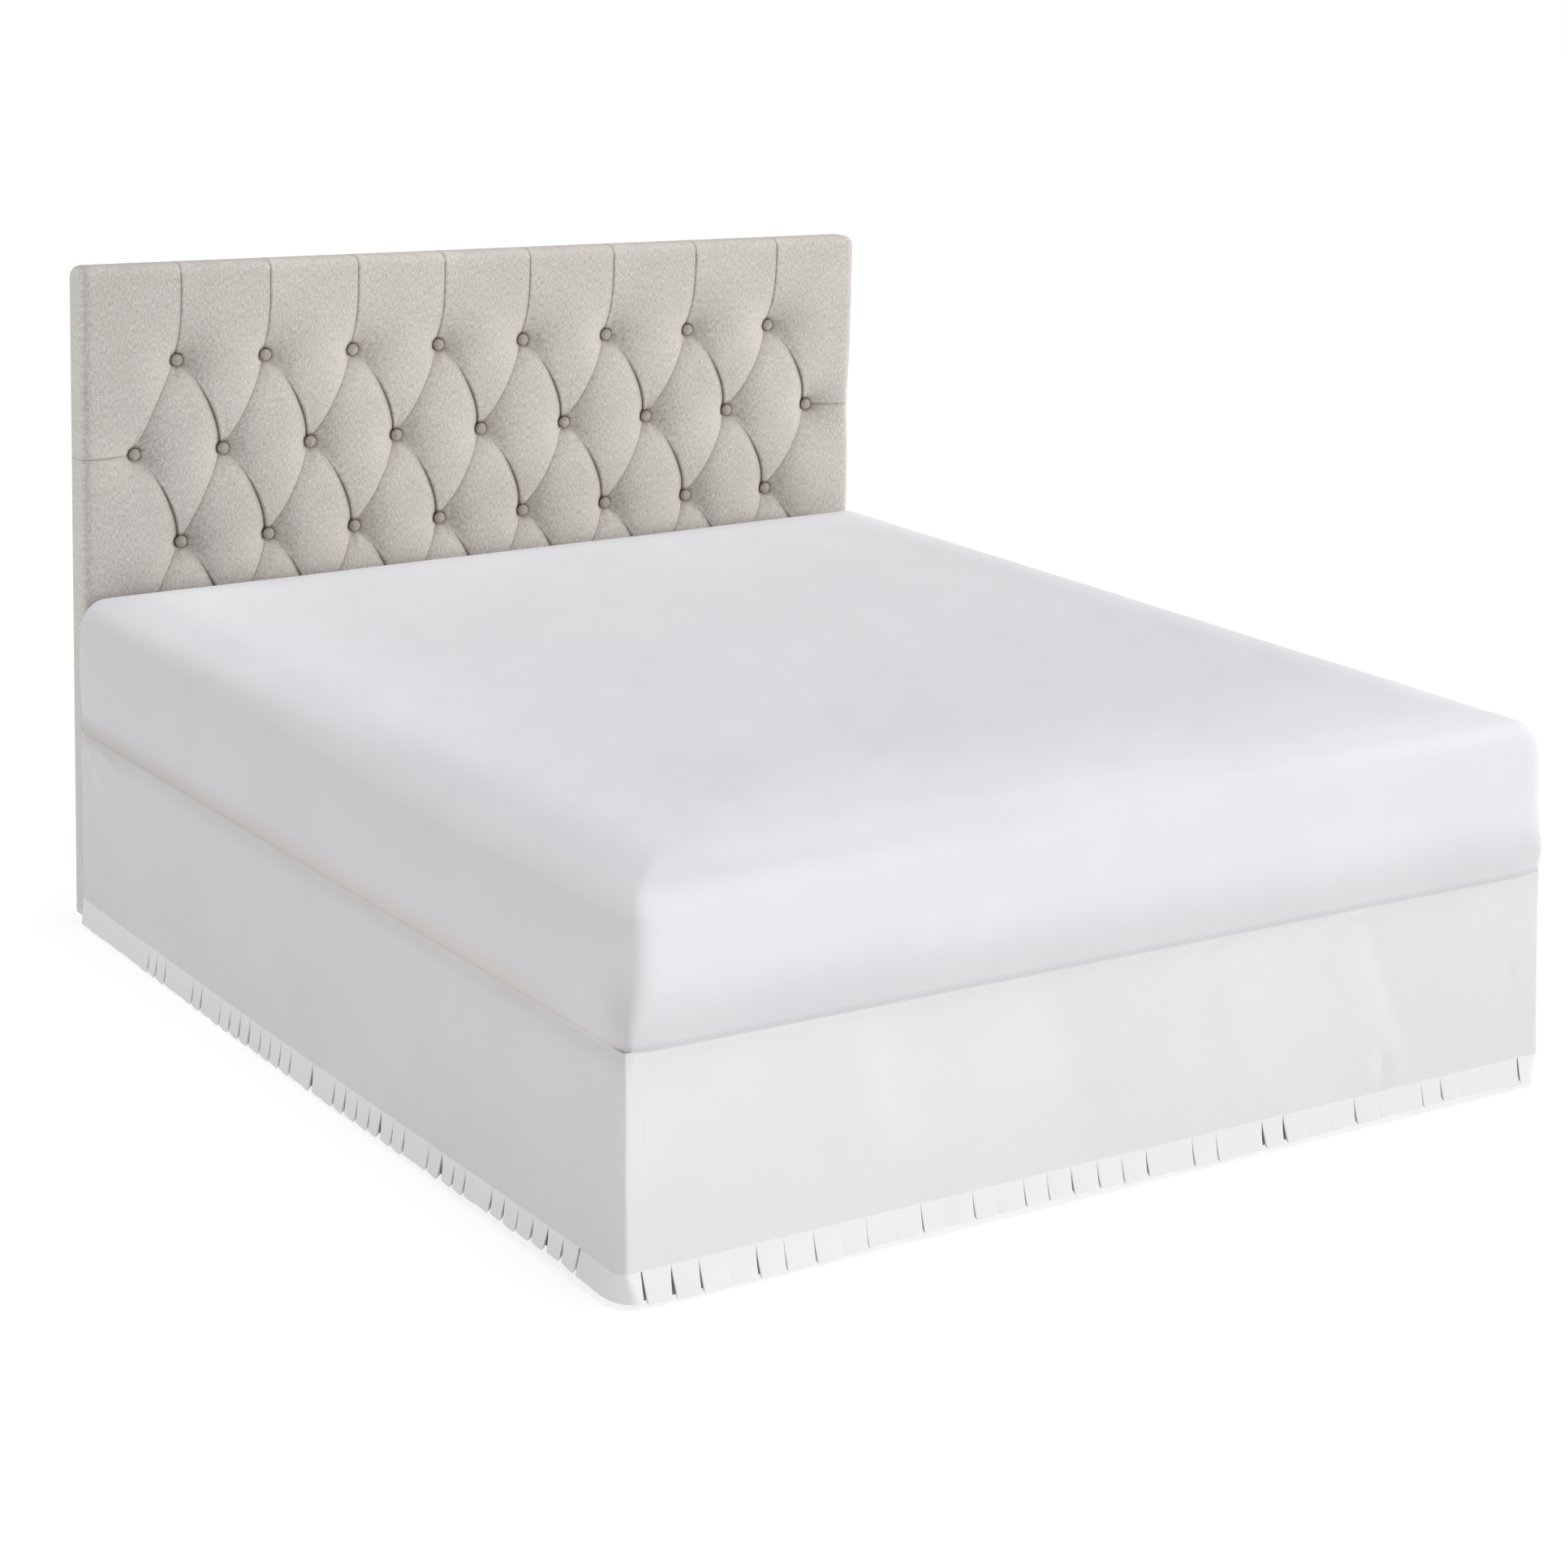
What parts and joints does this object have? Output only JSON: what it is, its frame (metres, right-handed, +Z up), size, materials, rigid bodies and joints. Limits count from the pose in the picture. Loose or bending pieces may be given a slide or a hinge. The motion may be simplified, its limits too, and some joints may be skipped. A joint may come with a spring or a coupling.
{
  "type": "bed skirt on bed",
  "caption": "White tailored bed skirt with split foot corners and a narrow box-pleated trim, hung round three sides of a plain bed with a mattress and an upholstered headboard.",
  "frame": {"origin": "middle of the bounding box, on the floor", "axes": "+X across the bed to its right side seen from the foot, +Y towards the head, +Z up"},
  "size_m": [1.8875, 2.2158, 1.294],
  "materials": {
    "skirt": "matt white cotton blend, tightly woven",
    "sheet": "smooth white fitted sheet",
    "linen": "coarse oatmeal linen weave",
    "ticking": "plain foundation cover",
    "leg_wood": "dark stained, satin"
  },
  "bodies": {
    "root": {"deck": "skirt", "drop_left": "skirt", "drop_right": "skirt", "drop_foot": "skirt", "flap_left": "skirt", "flap_right": "skirt", "band_left": "skirt", "band_right": "skirt", "trim_left": "skirt", "trim_foot": "skirt", "trim_right": "skirt", "mattress": "sheet", "headboard": "linen", "foundation": "ticking", "leg_left_foot": "leg_wood", "leg_left_middle": "leg_wood", "leg_left_head": "leg_wood", "leg_right_foot": "leg_wood", "leg_right_middle": "leg_wood", "leg_right_head": "leg_wood"}
  },
  "joints": []
}
